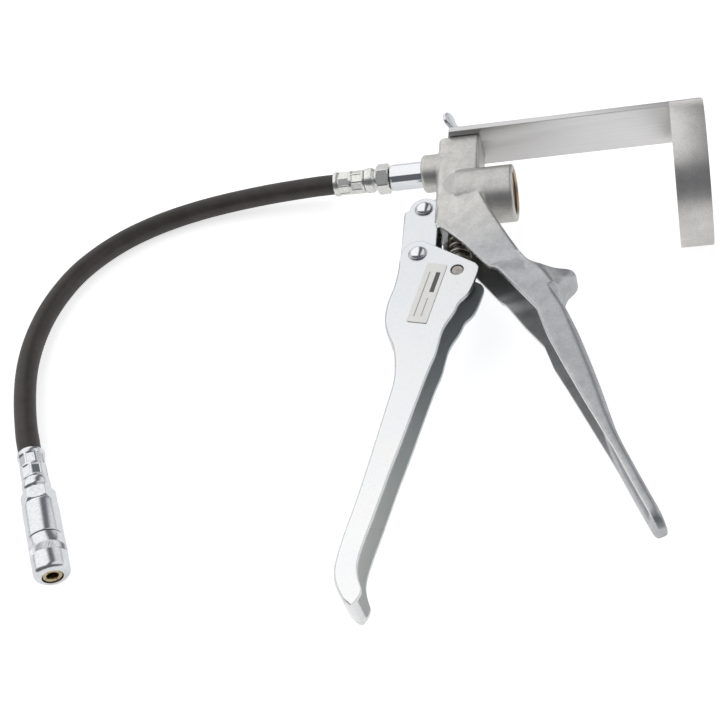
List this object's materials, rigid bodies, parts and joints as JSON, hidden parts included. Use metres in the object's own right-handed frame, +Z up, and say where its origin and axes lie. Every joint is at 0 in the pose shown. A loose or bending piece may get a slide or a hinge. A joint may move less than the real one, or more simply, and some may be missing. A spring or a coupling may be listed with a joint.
{
  "type": "grease gun head",
  "caption": "Lever grease gun head with swing link, container port, bracket bar with ring, and a short hose with a jaw coupler.",
  "frame": {"origin": "on the bench surface, under the middle of the gun's box without the hose and coupler", "axes": "+Z up from the bench, +Y from the handle's tip towards the head, +X from the head towards the bracket ring"},
  "size_m": [0.3697, 0.3078, 0.0785],
  "materials": {
    "cast_alloy": "as cast, blasted, matt",
    "zinc_plate": "bright zinc plated",
    "bright_plate": "bright",
    "bare_steel": "ground",
    "spring_steel": "oiled",
    "aluminium": "brushed",
    "brass_finish": "satin",
    "label": "satin foil",
    "fibre": "matt",
    "hose_rubber": "semi-matt",
    "seal_rubber": "matt"
  },
  "bodies": {
    "head": {"check_spring": "spring_steel", "coupler_body": "zinc_plate", "coupler_jaw_1": "brass_finish", "coupler_jaw_2": "brass_finish", "coupler_jaw_3": "brass_finish", "coupler_jaw_4": "brass_finish", "coupler_seal": "seal_rubber", "coupler_sleeve": "zinc_plate", "coupler_spring": "spring_steel", "ferrule_head": "zinc_plate", "ferrule_tip": "zinc_plate", "head_casting": "cast_alloy", "hose": "hose_rubber", "hose_nipple_head": "zinc_plate", "hose_nipple_tip": "zinc_plate", "link_rivet_upper": "bright_plate", "outlet_tube": "bright_plate", "plunger_seal": "seal_rubber", "port_gasket": "fibre"},
    "bracket": {"bracket_bar": "aluminium", "bracket_ring": "aluminium", "ring_rivet_1": "aluminium", "ring_rivet_2": "aluminium"},
    "clamp_washer": {"wing_washer": "zinc_plate"},
    "wing": {"wing_screw": "zinc_plate"},
    "swing_link": {"link": "zinc_plate"},
    "lever": {"lever": "zinc_plate", "lever_pin": "bare_steel", "link_rivet_lower": "bright_plate", "label_plate": "label"},
    "plunger": {"plunger": "bare_steel", "spring_washer": "zinc_plate", "return_spring": "spring_steel"},
    "outlet_valve": {"check_ball": "bright_plate"},
    "coupler_valve": {"coupler_ball": "bright_plate"}
  },
  "joints": [
    {"name": "link_swing", "type": "hinge", "parent": "head", "child": "swing_link", "pos_m": [-0.04974, 0.08518, 0.02061], "axis": [-0.129, -0.0272, 0.9913], "range_deg": [-6.8, 0]},
    {"name": "lever_squeeze", "type": "hinge", "parent": "swing_link", "child": "lever", "pos_m": [-0.05103, 0.0512, 0.01951], "axis": [-0.129, -0.0272, 0.9913], "range_deg": [0, 40], "stiffness_Nm_per_rad": 0.5, "springref_deg": -34.38},
    {"name": "plunger_slide", "type": "slide", "parent": "head", "child": "plunger", "axis": [0, 0.9996, 0.0274], "range_m": [0, 0.0146], "deforming": ["return_spring"]},
    {"name": "wing_lift", "type": "slide", "parent": "head", "child": "clamp_washer", "axis": [0, 0.9996, 0.0274], "range_m": [0, 0.002]},
    {"name": "wing_turn", "type": "hinge", "parent": "clamp_washer", "child": "wing", "pos_m": [-0.03164, 0.1431, 0.02455], "axis": [0, 0.9996, 0.0274], "range_deg": [0, 720]},
    {"name": "bracket_swing", "type": "hinge", "parent": "head", "child": "bracket", "pos_m": [-0.03164, 0.1377, 0.0244], "axis": [0, 0.9996, 0.0274], "range_deg": [-120, 120]},
    {"name": "outlet_valve_lift", "type": "slide", "parent": "head", "child": "outlet_valve", "axis": [-0.9916, 0.0035, -0.1289], "range_m": [0, 0.0007], "stiffness_N_per_m": 100, "springref_m": -0.002},
    {"name": "coupler_valve_lift", "type": "slide", "parent": "head", "child": "coupler_valve", "axis": [0.3616, -0.9323, 0], "range_m": [0, 0.0008], "stiffness_N_per_m": 100, "springref_m": -0.002}
  ],
  "couplings": [
    {"joint": "link_swing", "follows": "lever_squeeze", "ratio": -0.17},
    {"joint": "plunger_slide", "follows": "lever_squeeze", "m_per_rad": 0.02065},
    {"joint": "wing_lift", "follows": "wing_turn", "m_per_rad": 0.000159}
  ]
}
